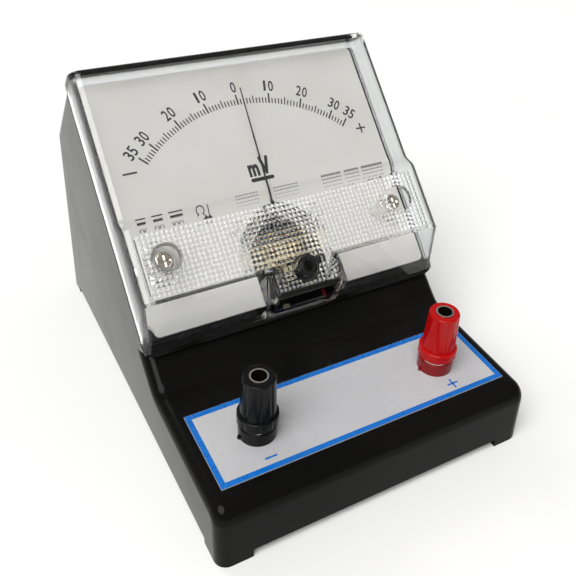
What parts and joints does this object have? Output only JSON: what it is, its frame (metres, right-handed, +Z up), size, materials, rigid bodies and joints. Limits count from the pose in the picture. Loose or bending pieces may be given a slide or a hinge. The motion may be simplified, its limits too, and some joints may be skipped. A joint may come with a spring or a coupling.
{
  "type": "desk galvanometer",
  "caption": "Centre-zero desk galvanometer with sloping dial, clear prismatic cover, moving-coil movement, zero adjuster and two binding posts.",
  "frame": {"origin": "on the surface the feet stand on, under the middle of the case", "axes": "+Z up, the front with the terminals faces -Y, the dial slopes back towards +Y, +X to the reader's right"},
  "size_m": [0.097, 0.141, 0.0967],
  "materials": {
    "black_case": "glossy black moulded plastic",
    "black_moulding": "black moulded plastic",
    "clear_cover": "clear moulded plastic, prismatic band",
    "dial_white": "smooth off-white paint",
    "label_white": "printed film",
    "red_plastic": "glossy red moulded plastic",
    "dark_red_plastic": "dark red moulded plastic",
    "black_plastic": "glossy black moulded plastic",
    "nickel": "nickel plated",
    "brass": "turned and stamped brass",
    "steel": "plain steel",
    "soft_iron": "machined soft iron",
    "magnet": "dark cast magnet alloy",
    "cast_frame": "die cast",
    "bare_aluminium": "thin sheet",
    "copper_wire": "enamelled copper winding",
    "needle_black": "black lacquered",
    "tinned": "tinned brass",
    "fibre": "insulating fibre",
    "resistor": "wound bobbin",
    "red_wire": "insulated lead",
    "black_wire": "insulated lead"
  },
  "bodies": {
    "housing": {"case_shell": "black_case", "base_plate": "black_moulding", "base_screws": "steel", "terminal_label": "label_white", "window_cover": "clear_cover", "window_screws": "brass", "dial_plate": "dial_white", "dial_carrier": "black_moulding", "pointer_stops": "steel", "movement_frame": "cast_frame", "movement_screws": "steel", "horseshoe_magnet": "magnet", "pole_shoes": "soft_iron", "iron_core": "soft_iron", "core_pin": "brass", "front_bridge": "brass", "bridge_spacers": "brass", "bridge_screws": "brass", "front_jewel_screw": "brass", "front_lock_nut": "brass", "rear_jewel_screw": "brass", "rear_lock_nut": "brass", "rear_spring_arm": "brass", "rear_hairspring": "brass", "series_resistor": "resistor", "red_lead": "red_wire", "black_lead": "black_wire", "link_lead": "black_wire", "red_post_collar": "dark_red_plastic", "red_stud": "nickel", "red_bush": "fibre", "red_solder_tag": "tinned", "red_nut": "steel", "black_post_collar": "black_plastic", "black_stud": "nickel", "black_bush": "fibre", "black_solder_tag": "tinned", "black_nut": "steel"},
    "zero_adjuster": {"zero_screw": "black_plastic", "zero_clip": "steel"},
    "zero_fork": {"zero_arm": "brass", "front_hairspring": "brass"},
    "pointer": {"pointer_needle": "needle_black", "balance_weights": "brass", "front_hub": "brass", "rear_hub": "brass", "coil_former": "bare_aluminium", "moving_coil": "copper_wire"},
    "red_ring": {"red_clamp_ring": "nickel"},
    "red_knob": {"red_cap": "red_plastic", "red_cap_insert": "brass"},
    "black_ring": {"black_clamp_ring": "nickel"},
    "black_knob": {"black_cap": "black_plastic", "black_cap_insert": "brass"}
  },
  "joints": [
    {"name": "zero_adjuster_turn", "type": "hinge", "parent": "housing", "child": "zero_adjuster", "pos_m": [0, -0.02374, 0.04745], "axis": [0, -0.7193, 0.6947], "range_deg": [-40, 40]},
    {"name": "zero_arm_turn", "type": "hinge", "parent": "housing", "child": "zero_fork", "pos_m": [0, -0.00742, 0.04362], "axis": [0, -0.7193, 0.6947], "range_deg": [-4.9, 4.9]},
    {"name": "pointer_swing", "type": "hinge", "parent": "zero_fork", "child": "pointer", "pos_m": [0, -0.00455, 0.04084], "axis": [0, -0.7193, 0.6947], "range_deg": [-44.8, 47.2], "stiffness_Nm_per_rad": 0.0002},
    {"name": "red_ring_lift", "type": "slide", "parent": "housing", "child": "red_ring", "axis": [0, -0.0673, 0.9977], "range_m": [0, 0.0055]},
    {"name": "red_cap_turn", "type": "hinge", "parent": "red_ring", "child": "red_knob", "pos_m": [0.0287, -0.05164, 0.02892], "axis": [0, -0.0673, 0.9977], "range_deg": [0, 1985]},
    {"name": "black_ring_lift", "type": "slide", "parent": "housing", "child": "black_ring", "axis": [0, -0.0673, 0.9977], "range_m": [0, 0.0055]},
    {"name": "black_cap_turn", "type": "hinge", "parent": "black_ring", "child": "black_knob", "pos_m": [-0.0287, -0.05164, 0.02892], "axis": [0, -0.0673, 0.9977], "range_deg": [0, 1985]}
  ],
  "couplings": [
    {"joint": "zero_arm_turn", "follows": "zero_adjuster_turn", "ratio": 0.119},
    {"joint": "red_cap_turn", "follows": "red_ring_lift", "rad_per_m": 6283.2},
    {"joint": "black_cap_turn", "follows": "black_ring_lift", "rad_per_m": 6283.2}
  ]
}
